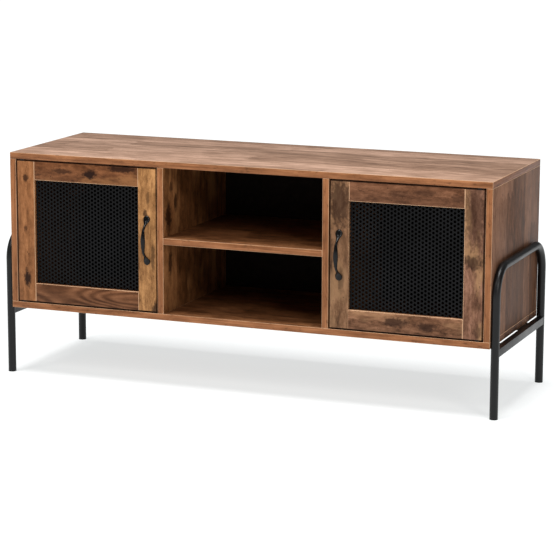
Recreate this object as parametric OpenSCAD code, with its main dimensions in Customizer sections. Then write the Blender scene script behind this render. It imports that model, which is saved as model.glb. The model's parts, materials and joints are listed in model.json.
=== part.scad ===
// TV stand: a board carcass with an open middle bay and two framed mesh doors,
// carried between two bent-tube leg frames. The origin is on the floor, at the
// middle of the whole box. X runs to the right, Y to the back and Z up, and
// every size is in millimetres. A piece that comes in left and right is drawn
// on the right and mirrored.

/* [Overall] */
// Width over the two leg frames
overall_w = 1229.4; // [1150:0.1:1400]
// Depth from the front of the boards to the back of the leg frames
overall_d = 398.8; // [380:0.1:450]
// Height of the top surface above the floor
overall_h = 535.9; // [500:0.1:600]
// Height of the cabinet's underside above the floor
underside_z = 161; // [155:1:190]

/* [Carcass] */
// Thickness of the boards and of the door frames
board_t = 15; // [15:1:18]
// Depth of the boards
board_d = 388; // [360:1:390]
// Clear width of the open middle bay
middle_bay_w = 395; // [340:1:440]
// Thickness of the back panel
back_t = 3; // [3:0.5:5]
// Distance from the back edge of the boards to the back panel
back_inset = 12; // [8:1:20]

/* [Doors] */
// Gap at each upright edge of a door
door_side_gap = 3.5; // [3:0.1:5]
// Gap above and below a door
door_end_gap = 3; // [3:0.1:4]
// Width of the stiles and rails
frame_w = 45; // [40:1:60]
// Width of the rebate that holds the mesh
rebate_w = 10; // [8:1:14]
// Depth of that rebate, from the back of the door
rebate_d = 7; // [5:0.5:8]
// Thickness of the mesh sheet
mesh_t = 1; // [0.8:0.1:1.5]
// Distance from the hinge edge of a door to its pivot
pivot_inset = 12; // [11:0.5:14]

/* [Handles] */
// Length of a handle
handle_len = 117; // [110:1:130]
// How far a handle stands out from the door
handle_proud = 27; // [24:1:32]
// Distance between the two handle screws
handle_pitch = 96; // [90:1:100]

/* [Leg frames] */
// Outer diameter of the leg tube
tube_d = 19; // [18:0.5:22]
// Wall of the leg tube and of the crossbar
tube_wall = 1.5; // [1.2:0.1:2]
// Bend radius at the middle of the tube
bend_r = 64; // [50:1:80]
// Height of the middle of the tube's top bar
top_bar_z = 340; // [300:1:380]
// Distance from the front of the boards back to the front of the tube
frame_setback = 1; // [0:0.5:5]
// Gap between the tube and the side panel
frame_gap = 0.2; // [0.1:0.1:1]
// Height of the crossbar section
crossbar_h = 18; // [15:1:22]

/* [Hidden] */
$fn = 48;
eps = 1;        // how far a cutter runs past the face that it cuts
fit = 0.05;     // radial room round a pin, screw or dowel that is held in its hole
clear = 0.2;    // radial room round a screw or bolt that passes through
end_room = 0.5; // room past the end of what a blind hole takes

// Carcass, worked out from the sizes above
carcass_w = overall_w - 2 * (tube_d + frame_gap);
front_y = (handle_proud - overall_d) / 2;
rear_y = front_y + board_d;
floor_z = underside_z + board_t;
ceiling_z = overall_h - board_t;
inner_h = ceiling_z - floor_z;
side_x = carcass_w / 2 - board_t;
divider_x = middle_bay_w / 2;
shelf_z = floor_z + (inner_h - board_t) / 2;
back_y = rear_y - back_inset - back_t;
groove_d = 6;
groove_room = 0.2;
back_lip = groove_d - 0.5;

// Doors
door_x = divider_x + board_t + door_side_gap;
door_w = side_x - divider_x - board_t - 2 * door_side_gap;
door_z = floor_z + door_end_gap;
door_h = inner_h - 2 * door_end_gap;
door_back_y = front_y + board_t;
open_x = door_x + frame_w;
open_w = door_w - 2 * frame_w;
open_z = door_z + frame_w;
open_h = door_h - 2 * frame_w;
sheet_room = 0.5;
pivot_x = door_x + door_w - pivot_inset;
pivot_y = front_y + board_t / 2;
handle_x = door_x + frame_w / 2;
handle_z = door_z + door_h / 2;

// Hinge pin and its bush
pin_r = 3;
pin_in_door = 14;
pin_in_bush = 9.5;
bush_r = 5;
bush_in_board = 10;
bush_flange_r = 7.5;
bush_flange_t = door_end_gap - 0.2;

// Leg frames
leg_x = (overall_w - tube_d) / 2;
leg_ys = [front_y + frame_setback + tube_d / 2, front_y + overall_d - tube_d / 2];
tube_r = tube_d / 2;
plug_t = 3;
plug_in_tube = 12;
crossbar_off_side = 2.5;
crossbar_inset = 0.5;
crossbar_drop = 0.6;
crossbar_x = carcass_w / 2 + crossbar_off_side;
crossbar_w = leg_x + tube_r - crossbar_inset - crossbar_x;
crossbar_z = underside_z - crossbar_drop - crossbar_h;
weld_room = 0.02;
tab_t = 3;
tab_len = 50;
tab_spans = [[25, 50], [227, 80]];  // distance behind the front, and width
tab_screw_inset = 12;
tab_screw_from_end = 20;
tab_screw_r = 2.15;
tab_screw_bite = 11;
tab_screw_head_r = 4.5;
tab_screw_head_t = 2.6;
side_bolt_ys = [front_y + 130, front_y + 270];
side_bolt_r = 3;
side_bolt_in_tube = 8;
side_bolt_head_r = 6;
side_bolt_head_t = 3.5;
side_bolt_socket_r = 2;
side_bolt_socket_d = 2;

// Cam fittings: a bolt in one board, drawn up by a cam in the end of the next
cam_r = 7.4;
cam_h = 12;
cam_reach = 24;
cam_bolt_r = 2.5;
cam_bolt_bite = 10;
cam_sunk = 0.2;
cam_room = 0.1;
cam_slot_len = 10;
cam_slot_w = 1.2;
cam_slot_d = 1.5;
cam_mouth_r = cam_bolt_r + 1.3;
cam_mouth_past = 4;
cam_collar_r = cam_bolt_r + 1;
cam_collar_t = 5;
cam_head_r = cam_bolt_r + 0.9;
cam_head_t = 3;
cam_ys = [front_y + 50, back_y - 60];
dowel_ys = [front_y + 82, back_y - 92];
dowel_r = 4;
dowel_bite = 9.5;
dowel_len = 29;
side_joints = [[side_x + board_t / 2, ceiling_z, [0, 180, 0]],
    [side_x + board_t / 2, floor_z, [0, 0, 180]]];
divider_joints = [[divider_x + board_t / 2, ceiling_z, [180, 0, 0]],
    [divider_x + board_t / 2, floor_z, [0, 0, 0]]];
shelf_joints = [[divider_x, shelf_z + board_t / 2, [0, 90, 180]]];
top_joints = [side_joints[0], divider_joints[0]];
bottom_joints = [side_joints[1], divider_joints[1]];

// Door frame dowels, mesh beads and their screws
frame_dowel_r = 3;
frame_dowel_len = 28;
frame_dowel_insets = [12, 28];
bead_room = 0.1;
bead_screws_at = [0.2, 0.8];  // shares of a bead's length
bead_t = rebate_d - mesh_t;
bead_w = rebate_w - sheet_room;
bead_screw_r = 1.2;
bead_screw_len = 10;
bead_head_r = 2.4;
bead_head_t = 1.2;

// Catches
catch_w = 16;
catch_d = 20;
catch_h = 40;
catch_z = ceiling_z - 50;
strike_t = 1.2;
strike_w = 10;
strike_h = 36;
strike_x = door_x + 6.5;
catch_y = door_back_y + strike_t + 0.4;
catch_screw_r = 1.5;
catch_screw_zs = [-14, 14];
catch_screw_from_back = 6;
catch_screw_bite = 10;
catch_screw_head_r = 3;
catch_screw_head_t = 1.8;
strike_screw_len = 9.5;
magnet_x = [divider_x + board_t + 4, divider_x + board_t + catch_w - 3];
magnet_d = 8;
magnet_room = 0.1;
magnet_h = 20;

// Handle: half widths seen from the front, and the arch seen from the side
handle_screw_r = 2;
handle_screw_in = 5;
handle_screw_head_r = 3.8;
handle_screw_head_t = 2.4;
pad_half_w = 7.5;
neck_half_w = 2.6;
grip_half_w = 4.8;
neck_at = 30;
arch_top = handle_proud - 3;
arch_flat = 22;
arch_drop = 2;
arch_foot_at = 52;
arch_foot = 4;
bar_half_t = 3;
bar_back_t = 1;
tip_thin = 0.6;
tip_half_w = 0.01;
outline_step = 1.5;

// Finishes
board_colour = [0.55, 0.38, 0.26];
door_colour = [0.62, 0.43, 0.28];
black_metal = [0.11, 0.11, 0.12];
steel = [0.72, 0.73, 0.75];

// ---- helpers ----

// Draws the children on the right, and mirrored on the left
module both_sides() {
    children();
    mirror([1, 0, 0]) children();
}

// Draws the children on the right when side is 1 and on the left when it is -1
module on_side(side) {
    mirror([side < 0 ? 1 : 0, 0, 0]) children();
}

// A block between two corners
module block(low, high) {
    translate(low) cube(high - low);
}

// Places the children at board joints, with +Z into the board that has the cam
// and +X towards the face that the cam is let into
module at_joints(joints, ys) {
    for (joint = joints, y = ys)
        translate([joint[0], y, joint[1]]) rotate(joint[2]) children();
}

// Holes in the board that has the cam
module cam_side_bores(joints) {
    at_joints(joints, cam_ys) {
        cylinder(r = cam_mouth_r, h = cam_reach);
        translate([board_t / 2 - cam_h - end_room, 0, cam_reach])
            rotate([0, 90, 0]) cylinder(r = cam_r + cam_room, h = cam_h + end_room + eps);
    }
    at_joints(joints, dowel_ys)
        translate([0, 0, -eps])
            cylinder(r = dowel_r + fit, h = dowel_len - dowel_bite + end_room + eps);
}

// Holes in the board that the cam bolt is screwed into
module bolt_side_bores(joints) {
    at_joints(joints, cam_ys)
        translate([0, 0, -cam_bolt_bite - end_room])
            cylinder(r = cam_bolt_r + fit, h = cam_bolt_bite + end_room + eps);
    at_joints(joints, dowel_ys)
        translate([0, 0, -dowel_bite - end_room])
            cylinder(r = dowel_r + fit, h = dowel_bite + end_room + eps);
}

// Places the children at the two pivots of the right door, with +Z from the
// surface of the board towards the door
module at_pivots() {
    translate([pivot_x, pivot_y, floor_z]) children();
    translate([pivot_x, pivot_y, ceiling_z]) mirror([0, 0, 1]) children();
}

module bush_bores() {
    both_sides() at_pivots()
        translate([0, 0, -bush_in_board - end_room])
            cylinder(r = bush_r + fit, h = bush_in_board + end_room + eps);
}

// Places the children under the bottom board, at the screws of the right tabs
module at_tab_screws() {
    for (span = tab_spans, along = [tab_screw_inset, span[1] - tab_screw_inset])
        translate([crossbar_x - tab_len + tab_screw_from_end, front_y + span[0] + along, underside_z])
            children();
}

// Places the children at the inside of the right side panel, with +Z outwards
module at_side_bolts() {
    for (y = side_bolt_ys)
        translate([side_x, y, top_bar_z]) rotate([0, 90, 0]) children();
}

// Places the children on the catch screws, with +Z into the right divider
module at_catch_screws() {
    for (z = catch_screw_zs)
        translate([divider_x + board_t + catch_w, catch_y + catch_d - catch_screw_from_back, catch_z + z])
            rotate([0, -90, 0]) children();
}

// ---- carcass ----

module back_groove(x_reach, z_low, z_high) {
    block([-x_reach, back_y - groove_room / 2, z_low],
        [x_reach, back_y + back_t + groove_room / 2, z_high]);
}

module top_panel() {
    color(board_colour) difference() {
        block([-carcass_w / 2, front_y, ceiling_z], [carcass_w / 2, rear_y, overall_h]);
        back_groove(side_x + groove_d, ceiling_z - eps, ceiling_z + groove_d);
        both_sides() bolt_side_bores(top_joints);
        bush_bores();
    }
}

module bottom_panel() {
    color(board_colour) difference() {
        block([-carcass_w / 2, front_y, underside_z], [carcass_w / 2, rear_y, floor_z]);
        back_groove(side_x + groove_d, floor_z - groove_d, floor_z + eps);
        both_sides() bolt_side_bores(bottom_joints);
        both_sides() at_tab_screws()
            translate([0, 0, -eps])
                cylinder(r = tab_screw_r + fit, h = tab_screw_bite + end_room + eps);
        bush_bores();
    }
}

module side_panel(side) {
    color(board_colour) on_side(side) difference() {
        block([side_x, front_y, floor_z], [side_x + board_t, rear_y, ceiling_z]);
        back_groove(side_x + groove_d, floor_z - eps, ceiling_z + eps);
        cam_side_bores(side_joints);
        at_side_bolts()
            translate([0, 0, -eps]) cylinder(r = side_bolt_r + clear, h = board_t + 2 * eps);
    }
}

module divider(side) {
    color(board_colour) on_side(side) difference() {
        block([divider_x, front_y, floor_z], [divider_x + board_t, back_y, ceiling_z]);
        cam_side_bores(divider_joints);
        bolt_side_bores(shelf_joints);
        at_catch_screws()
            translate([0, 0, catch_w - eps])
                cylinder(r = catch_screw_r + fit, h = catch_screw_bite + end_room + eps);
    }
}

module middle_shelf() {
    color(board_colour) difference() {
        block([-divider_x, front_y, shelf_z], [divider_x, back_y, shelf_z + board_t]);
        both_sides() cam_side_bores(shelf_joints);
    }
}

module back_panel() {
    color([0.09, 0.08, 0.08])
        block([-side_x - back_lip, back_y, floor_z - back_lip],
            [side_x + back_lip, back_y + back_t, ceiling_z + back_lip]);
}

module cam_locks() {
    color(steel) both_sides()
        at_joints(concat(side_joints, divider_joints, shelf_joints), cam_ys)
            translate([board_t / 2 - cam_h - cam_sunk, 0, cam_reach]) difference() {
                rotate([0, 90, 0]) cylinder(r = cam_r, h = cam_h);
                translate([cam_h + cam_sunk - board_t / 2, 0, -cam_r - eps])
                    cylinder(r = cam_mouth_r, h = cam_r + eps + cam_mouth_past);
                // cross slot for the screwdriver, in the open face
                for (slot = [[cam_slot_len, cam_slot_w], [cam_slot_w, cam_slot_len]])
                    translate([cam_h - cam_slot_d, -slot[0] / 2, -slot[1] / 2])
                        cube([cam_slot_d + eps, slot[0], slot[1]]);
            }
}

module cam_bolts() {
    color(steel) both_sides()
        at_joints(concat(side_joints, divider_joints, shelf_joints), cam_ys) {
            translate([0, 0, -cam_bolt_bite]) cylinder(r = cam_bolt_r, h = cam_bolt_bite + cam_reach);
            translate([0, 0, cam_sunk]) cylinder(r = cam_collar_r, h = cam_collar_t);
            translate([0, 0, cam_reach]) cylinder(r = cam_head_r, h = cam_head_t);
        }
}

module carcass_dowels() {
    color([0.8, 0.66, 0.45]) both_sides()
        at_joints(concat(side_joints, divider_joints, shelf_joints), dowel_ys)
            translate([0, 0, -dowel_bite]) cylinder(r = dowel_r, h = dowel_len);
}

// ---- leg frames ----

// The bent bar of the right leg frame at a given radius
module bent_bar(r, foot_z) {
    straight_z = top_bar_z - bend_r;
    for (y = leg_ys) translate([leg_x, y, foot_z]) cylinder(r = r, h = straight_z - foot_z);
    translate([leg_x, leg_ys[0] + bend_r, top_bar_z]) rotate([-90, 0, 0])
        cylinder(r = r, h = leg_ys[1] - leg_ys[0] - 2 * bend_r);
    translate([leg_x, leg_ys[0] + bend_r, straight_z]) rotate([90, 0, 90])
        rotate([0, 0, 90]) rotate_extrude(angle = 90) translate([bend_r, 0]) circle(r = r);
    translate([leg_x, leg_ys[1] - bend_r, straight_z]) rotate([90, 0, 90])
        rotate_extrude(angle = 90) translate([bend_r, 0]) circle(r = r);
}

module leg_tube(side) {
    color(black_metal) on_side(side) difference() {
        bent_bar(tube_r, plug_t);
        bent_bar(tube_r - tube_wall, plug_t - eps);
        at_side_bolts() cylinder(r = side_bolt_r + clear, h = board_t + frame_gap + tube_r);
    }
}

module crossbar(side) {
    wall = [tube_wall, 0, tube_wall];
    low = [crossbar_x, leg_ys[0], crossbar_z];
    high = [crossbar_x + crossbar_w, leg_ys[1], crossbar_z + crossbar_h];
    color(black_metal) on_side(side) difference() {
        block(low, high);
        block(low + wall, high - wall);
        for (y = leg_ys) translate([leg_x, y, crossbar_z - eps])
            cylinder(r = tube_r + weld_room, h = crossbar_h + 2 * eps);
    }
}

module mounting_tabs(side) {
    color(black_metal) on_side(side) difference() {
        for (span = tab_spans)
            block([crossbar_x - tab_len, front_y + span[0], underside_z - tab_t],
                [crossbar_x, front_y + span[0] + span[1], underside_z]);
        at_tab_screws() translate([0, 0, -tab_t - eps])
            cylinder(r = tab_screw_r + clear, h = tab_t + 2 * eps);
    }
}

module tab_screws() {
    color(steel) both_sides() at_tab_screws() {
        translate([0, 0, -tab_t]) cylinder(r = tab_screw_r, h = tab_t + tab_screw_bite);
        translate([0, 0, -tab_t - tab_screw_head_t]) cylinder(r = tab_screw_head_r, h = tab_screw_head_t);
    }
}

module side_bolts() {
    color(steel) both_sides() at_side_bolts() {
        cylinder(r = side_bolt_r, h = board_t + frame_gap + side_bolt_in_tube);
        translate([0, 0, -side_bolt_head_t]) difference() {
            cylinder(r = side_bolt_head_r, h = side_bolt_head_t);
            translate([0, 0, -eps])
                cylinder(r = side_bolt_socket_r, h = side_bolt_socket_d + eps, $fn = 6);
        }
    }
}

module foot_plugs() {
    color([0.07, 0.07, 0.07]) both_sides()
        for (y = leg_ys) translate([leg_x, y, 0]) {
            cylinder(r = tube_r, h = plug_t);
            translate([0, 0, plug_t]) cylinder(r = tube_r - tube_wall - fit, h = plug_in_tube);
        }
}

// ---- catches and hinge bushes, on the carcass ----

module hinge_bushes() {
    color([0.9, 0.9, 0.88]) both_sides() at_pivots() difference() {
        union() {
            translate([0, 0, -bush_in_board]) cylinder(r = bush_r, h = bush_in_board);
            cylinder(r = bush_flange_r, h = bush_flange_t);
        }
        translate([0, 0, -bush_in_board - eps])
            cylinder(r = pin_r + fit, h = bush_in_board + bush_flange_t + 2 * eps);
    }
}

// Where the magnet sits in the front of the right catch
module magnet_space(room) {
    block([magnet_x[0] - room, catch_y - (room > 0 ? eps : 0), catch_z - magnet_h / 2 - room],
        [magnet_x[1] + room, catch_y + magnet_d + room, catch_z + magnet_h / 2 + room]);
}

module catch_case(side) {
    color([0.13, 0.12, 0.12]) on_side(side) difference() {
        block([divider_x + board_t, catch_y, catch_z - catch_h / 2],
            [divider_x + board_t + catch_w, catch_y + catch_d, catch_z + catch_h / 2]);
        magnet_space(magnet_room);
        at_catch_screws() translate([0, 0, -eps])
            cylinder(r = catch_screw_r + clear, h = catch_w + 2 * eps);
    }
}

module catch_magnets() {
    color([0.25, 0.25, 0.27]) both_sides() magnet_space(0);
}

module catch_screws() {
    color(steel) both_sides() at_catch_screws() {
        cylinder(r = catch_screw_r, h = catch_w + catch_screw_bite);
        translate([0, 0, -catch_screw_head_t]) cylinder(r = catch_screw_head_r, h = catch_screw_head_t);
    }
}

// ---- doors, drawn for the right ----

// Places the children at the bead screws, with +Z from the back of the door
// towards its front
module at_bead_screws() {
    mid = bead_w / 2;
    xs = [for (share = bead_screws_at) open_x + open_w * share];
    zs = [for (share = bead_screws_at) open_z + open_h * share];
    for (x = xs, z = [open_z - mid, open_z + open_h + mid])
        translate([x, door_back_y, z]) rotate([90, 0, 0]) children();
    for (z = zs, x = [open_x - mid, open_x + open_w + mid])
        translate([x, door_back_y, z]) rotate([90, 0, 0]) children();
}

// Places the children on the rail ends, with +Z across the joint into the rail
module at_frame_dowels() {
    for (inset = frame_dowel_insets, z = [door_z + inset, door_z + door_h - inset]) {
        translate([open_x, pivot_y, z]) rotate([0, 90, 0]) children();
        translate([open_x + open_w, pivot_y, z]) rotate([0, -90, 0]) children();
    }
}

// Places the children at the handle screws, with +Z from the front face back
module at_handle_screws() {
    for (end = [-1, 1])
        translate([handle_x, front_y, handle_z + end * handle_pitch / 2]) rotate([-90, 0, 0]) children();
}

// A stile or rail between two corners of the door, with every cut that meets it
module frame_member(low_x, low_z, high_x, high_z) {
    half = frame_dowel_len / 2;
    difference() {
        block([low_x, front_y, low_z], [high_x, door_back_y, high_z]);
        block([open_x - rebate_w, door_back_y - rebate_d, open_z - rebate_w],
            [open_x + open_w + rebate_w, door_back_y + eps, open_z + open_h + rebate_w]);
        at_frame_dowels() translate([0, 0, -half - end_room])
            cylinder(r = frame_dowel_r + fit, h = frame_dowel_len + 2 * end_room);
        at_bead_screws() cylinder(r = bead_screw_r + fit, h = bead_screw_len + end_room);
        children();
    }
}

module hinge_stile(side) {
    color(door_colour) on_side(side)
        frame_member(open_x + open_w, door_z, door_x + door_w, door_z + door_h)
            at_pivots() cylinder(r = pin_r + fit, h = door_end_gap + pin_in_door + end_room);
}

module lock_stile(side) {
    color(door_colour) on_side(side)
        frame_member(door_x, door_z, open_x, door_z + door_h) {
            at_handle_screws() translate([0, 0, -eps])
                cylinder(r = handle_screw_r + clear, h = board_t + 2 * eps);
            translate([strike_x, door_back_y, catch_z]) rotate([90, 0, 0])
                cylinder(r = catch_screw_r + fit, h = strike_screw_len);
        }
}

module top_rail(side) {
    color(door_colour) on_side(side)
        frame_member(open_x, open_z + open_h, open_x + open_w, door_z + door_h);
}

module bottom_rail(side) {
    color(door_colour) on_side(side)
        frame_member(open_x, door_z, open_x + open_w, open_z);
}

module mesh_sheet(side) {
    lap = rebate_w - sheet_room;
    color(black_metal) on_side(side) difference() {
        block([open_x - lap, door_back_y - rebate_d, open_z - lap],
            [open_x + open_w + lap, door_back_y - bead_t, open_z + open_h + lap]);
        at_bead_screws() cylinder(r = bead_screw_r + clear, h = bead_screw_len);
    }
}

module mesh_beads(side) {
    low = door_back_y - bead_t;
    lap = bead_w;
    color(door_colour) on_side(side) difference() {
        union() {
            for (z = [open_z - lap, open_z + open_h])
                block([open_x - lap, low, z], [open_x + open_w + lap, door_back_y, z + lap]);
            for (x = [open_x - lap, open_x + open_w])
                block([x, low, open_z + bead_room], [x + lap, door_back_y, open_z + open_h - bead_room]);
        }
        at_bead_screws() {
            cylinder(r = bead_screw_r + fit, h = bead_screw_len);
            translate([0, 0, -eps]) cylinder(r = bead_head_r + bead_room, h = bead_head_t + eps);
        }
    }
}

module bead_screws(side) {
    color(steel) on_side(side) at_bead_screws() {
        cylinder(r = bead_screw_r, h = bead_screw_len);
        cylinder(r = bead_head_r, h = bead_head_t);
    }
}

module frame_dowels(side) {
    color([0.8, 0.66, 0.45]) on_side(side) at_frame_dowels()
        translate([0, 0, -frame_dowel_len / 2]) cylinder(r = frame_dowel_r, h = frame_dowel_len);
}

module hinge_pins(side) {
    color(steel) on_side(side) at_pivots()
        translate([0, 0, -pin_in_bush]) cylinder(r = pin_r, h = pin_in_bush + door_end_gap + pin_in_door);
}

module strike_plate(side) {
    color(steel) on_side(side) difference() {
        block([strike_x - strike_w / 2, door_back_y, catch_z - strike_h / 2],
            [strike_x + strike_w / 2, door_back_y + strike_t, catch_z + strike_h / 2]);
        translate([strike_x, door_back_y - eps, catch_z]) rotate([-90, 0, 0])
            cylinder(r = catch_screw_r + clear, h = strike_t + 2 * eps);
    }
}

// The head is sunk in the plate, so that the magnet can meet it
module strike_screw(side) {
    color(steel) on_side(side) translate([strike_x, door_back_y + strike_t, catch_z])
        rotate([90, 0, 0]) cylinder(r = catch_screw_r, h = strike_screw_len);
}

// Half width of the handle at a distance a from its middle
function handle_half_w(a) =
    let (pad_at = handle_pitch / 2)
    a > pad_at ? pad_half_w * sqrt(max(0, 1 - pow((a - pad_at) / (handle_len / 2 - pad_at), 2))) :
    a > neck_at ? neck_half_w
        + (pad_half_w - neck_half_w) * (1 - cos(180 * (a - neck_at) / (pad_at - neck_at))) / 2 :
    neck_half_w + (grip_half_w - neck_half_w) * (1 + cos(180 * a / neck_at)) / 2;

// How far the middle of the handle's bar stands out at a distance a
function arch(a) =
    a < arch_flat ? arch_top - arch_drop * pow(a / arch_flat, 2) :
    a < arch_foot_at ? arch_foot + (arch_top - arch_drop - arch_foot)
        * (1 + cos(180 * (a - arch_flat) / (arch_foot_at - arch_flat))) / 2 :
    arch_foot;

// The pad thins towards the tip
function pad_thin(a) =
    1 - tip_thin * pow(max(0, a - handle_pitch / 2) / (handle_len / 2 - handle_pitch / 2), 2);

module handle(side) {
    half = handle_len / 2;
    zs = [for (z = [-half : outline_step : half]) z];
    front_outline = concat(
        [for (z = zs) [handle_half_w(abs(z)) + tip_half_w, z]],
        [for (i = [len(zs) - 1 : -1 : 0]) [-handle_half_w(abs(zs[i])) - tip_half_w, zs[i]]]);
    side_outline = concat(
        [for (z = zs) [-(arch(abs(z)) + bar_half_t) * pad_thin(abs(z)), z]],
        [for (i = [len(zs) - 1 : -1 : 0]) [-max(0, arch(abs(zs[i])) - bar_half_t - bar_back_t), zs[i]]]);
    color(black_metal) on_side(side) difference() {
        translate([handle_x, front_y, handle_z]) intersection() {
            rotate([90, 0, 90]) linear_extrude(4 * pad_half_w, center = true) polygon(side_outline);
            translate([0, eps, 0]) rotate([90, 0, 0])
                linear_extrude(handle_proud + 2 * eps) polygon(front_outline);
        }
        at_handle_screws() translate([0, 0, -handle_screw_in - end_room])
            cylinder(r = handle_screw_r + fit, h = handle_screw_in + end_room + eps);
    }
}

module handle_screws(side) {
    color(steel) on_side(side) at_handle_screws() {
        translate([0, 0, -handle_screw_in]) cylinder(r = handle_screw_r, h = handle_screw_in + board_t);
        translate([0, 0, board_t]) cylinder(r = handle_screw_head_r, h = handle_screw_head_t);
    }
}

top_panel();
bottom_panel();
side_panel(-1);  // left_side_panel
side_panel(1);  // right_side_panel
divider(-1);  // left_divider
divider(1);  // right_divider
middle_shelf();
back_panel();
leg_tube(-1);  // left_leg_tube
leg_tube(1);  // right_leg_tube
crossbar(-1);  // left_crossbar
crossbar(1);  // right_crossbar
mounting_tabs(-1);  // left_mounting_tabs
mounting_tabs(1);  // right_mounting_tabs
tab_screws();
side_bolts();
foot_plugs();
cam_locks();
cam_bolts();
carcass_dowels();
hinge_bushes();
catch_case(-1);  // left_catch
catch_case(1);  // right_catch
catch_magnets();
catch_screws();
hinge_stile(-1);  // left_hinge_stile
lock_stile(-1);  // left_lock_stile
top_rail(-1);  // left_top_rail
bottom_rail(-1);  // left_bottom_rail
mesh_sheet(-1);  // left_mesh_sheet
mesh_beads(-1);  // left_mesh_beads
bead_screws(-1);  // left_bead_screws
frame_dowels(-1);  // left_frame_dowels
hinge_pins(-1);  // left_hinge_pins
strike_plate(-1);  // left_strike_plate
strike_screw(-1);  // left_strike_screw
handle(-1);  // left_handle
handle_screws(-1);  // left_handle_screws
hinge_stile(1);  // right_hinge_stile
lock_stile(1);  // right_lock_stile
top_rail(1);  // right_top_rail
bottom_rail(1);  // right_bottom_rail
mesh_sheet(1);  // right_mesh_sheet
mesh_beads(1);  // right_mesh_beads
bead_screws(1);  // right_bead_screws
frame_dowels(1);  // right_frame_dowels
hinge_pins(1);  // right_hinge_pins
strike_plate(1);  // right_strike_plate
strike_screw(1);  // right_strike_screw
handle(1);  // right_handle
handle_screws(1);  // right_handle_screws
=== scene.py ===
# %% [markdown]
# # A TV stand with two mesh doors
# The stand is a low cabinet of 15 mm boards covered in a printed wood paper. It has an open
# bay in the middle and a framed door with a perforated steel sheet on each side, and it hangs
# between two frames of bent steel tube. The solids, sizes and hinges come from the packed
# model, which is loaded first and is never moved. This script adds what the eye looks for:
# eased board edges, edge banding, wood figure, round holes, forged handles and paint.

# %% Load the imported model
import json
import math

import bmesh
import bpy
from mathutils import Matrix, Vector


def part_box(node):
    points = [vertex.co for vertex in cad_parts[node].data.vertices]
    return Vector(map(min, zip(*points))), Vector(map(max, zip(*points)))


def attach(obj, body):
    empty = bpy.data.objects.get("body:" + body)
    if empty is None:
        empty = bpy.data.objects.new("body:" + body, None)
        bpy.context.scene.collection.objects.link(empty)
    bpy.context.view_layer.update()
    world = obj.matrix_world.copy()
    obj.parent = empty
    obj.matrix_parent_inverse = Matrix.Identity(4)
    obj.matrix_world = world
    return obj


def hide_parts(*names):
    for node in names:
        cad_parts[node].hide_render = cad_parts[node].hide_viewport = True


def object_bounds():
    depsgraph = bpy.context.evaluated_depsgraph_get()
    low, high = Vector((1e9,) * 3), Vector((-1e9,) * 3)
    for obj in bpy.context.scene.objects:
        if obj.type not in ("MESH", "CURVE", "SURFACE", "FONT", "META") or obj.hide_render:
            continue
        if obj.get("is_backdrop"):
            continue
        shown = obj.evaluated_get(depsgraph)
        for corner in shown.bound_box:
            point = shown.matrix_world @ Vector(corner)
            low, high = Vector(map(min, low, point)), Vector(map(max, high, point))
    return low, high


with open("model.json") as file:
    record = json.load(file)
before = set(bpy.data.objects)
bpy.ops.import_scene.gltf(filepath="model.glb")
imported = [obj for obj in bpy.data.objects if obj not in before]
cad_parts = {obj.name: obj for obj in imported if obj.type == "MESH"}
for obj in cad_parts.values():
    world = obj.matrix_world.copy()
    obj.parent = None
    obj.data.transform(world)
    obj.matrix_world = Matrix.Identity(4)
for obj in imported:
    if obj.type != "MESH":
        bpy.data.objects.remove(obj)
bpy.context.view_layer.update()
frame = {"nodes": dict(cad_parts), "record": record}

MM = 0.001

# %% [markdown]
# ## Working with operators
# An operator acts on whatever is selected, so a maker first clears the selection, then picks
# one piece, and inside edit mode selects corners, edges or faces by where they are. These few
# helpers say that in one line each.


# %% Selecting helpers
def only(piece):
    """Makes one piece the active object and the only selected one."""
    bpy.ops.object.select_all(action="DESELECT")
    piece.select_set(True)
    bpy.context.view_layer.objects.active = piece
    return piece


def select(piece, verts=None, edges=None, faces=None):
    """In edit mode, selects the corners, edges or faces that a test accepts."""
    mesh = bmesh.from_edit_mesh(piece.data)
    for part in (mesh.verts, mesh.edges, mesh.faces):
        for item in part:
            item.select = False
    for test, part in ((verts, mesh.verts), (edges, mesh.edges), (faces, mesh.faces)):
        if test:
            for item in part:
                if test(item):
                    item.select_set(True)
    bmesh.update_edit_mesh(piece.data)


def edit(piece, mode="VERT"):
    """Opens one piece in edit mode."""
    only(piece)
    bpy.ops.object.mode_set(mode="EDIT")
    bpy.ops.mesh.select_mode(type=mode)
    bpy.ops.mesh.select_all(action="DESELECT")


def done(piece, name, angle=30):
    """Closes edit mode, names the piece and shades it smooth up to an angle."""
    if bpy.context.object and bpy.context.object.mode == "EDIT":
        bpy.ops.object.mode_set(mode="OBJECT")
    only(piece)
    bpy.ops.object.transform_apply(location=True, rotation=True, scale=True)
    bpy.ops.object.shade_smooth_by_angle(angle=math.radians(angle))
    piece.name = name
    piece.data.name = name
    return piece


def settle(piece, body, node):
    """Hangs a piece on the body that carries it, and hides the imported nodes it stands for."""
    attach(piece, body)
    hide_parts(*([node] if isinstance(node, str) else node))


body_of = {n: b for b, names in frame["record"]["behaviour"]["bodies"].items() for n in names}

# %% [markdown]
# ## Camera
# The stand is seen from its right, from a little above the top, through a long lens. A long
# lens keeps the two ends of a wide cabinet nearly the same size.

# %% Camera
CAMERA_AT = (1.984, -4.949, 1.300)
CAMERA_TURN = math.radians(21.63)
CAMERA_DOWN = math.radians(11.26)
CAMERA_ROLL = math.radians(0.22)
CAMERA_LENS = 147

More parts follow.
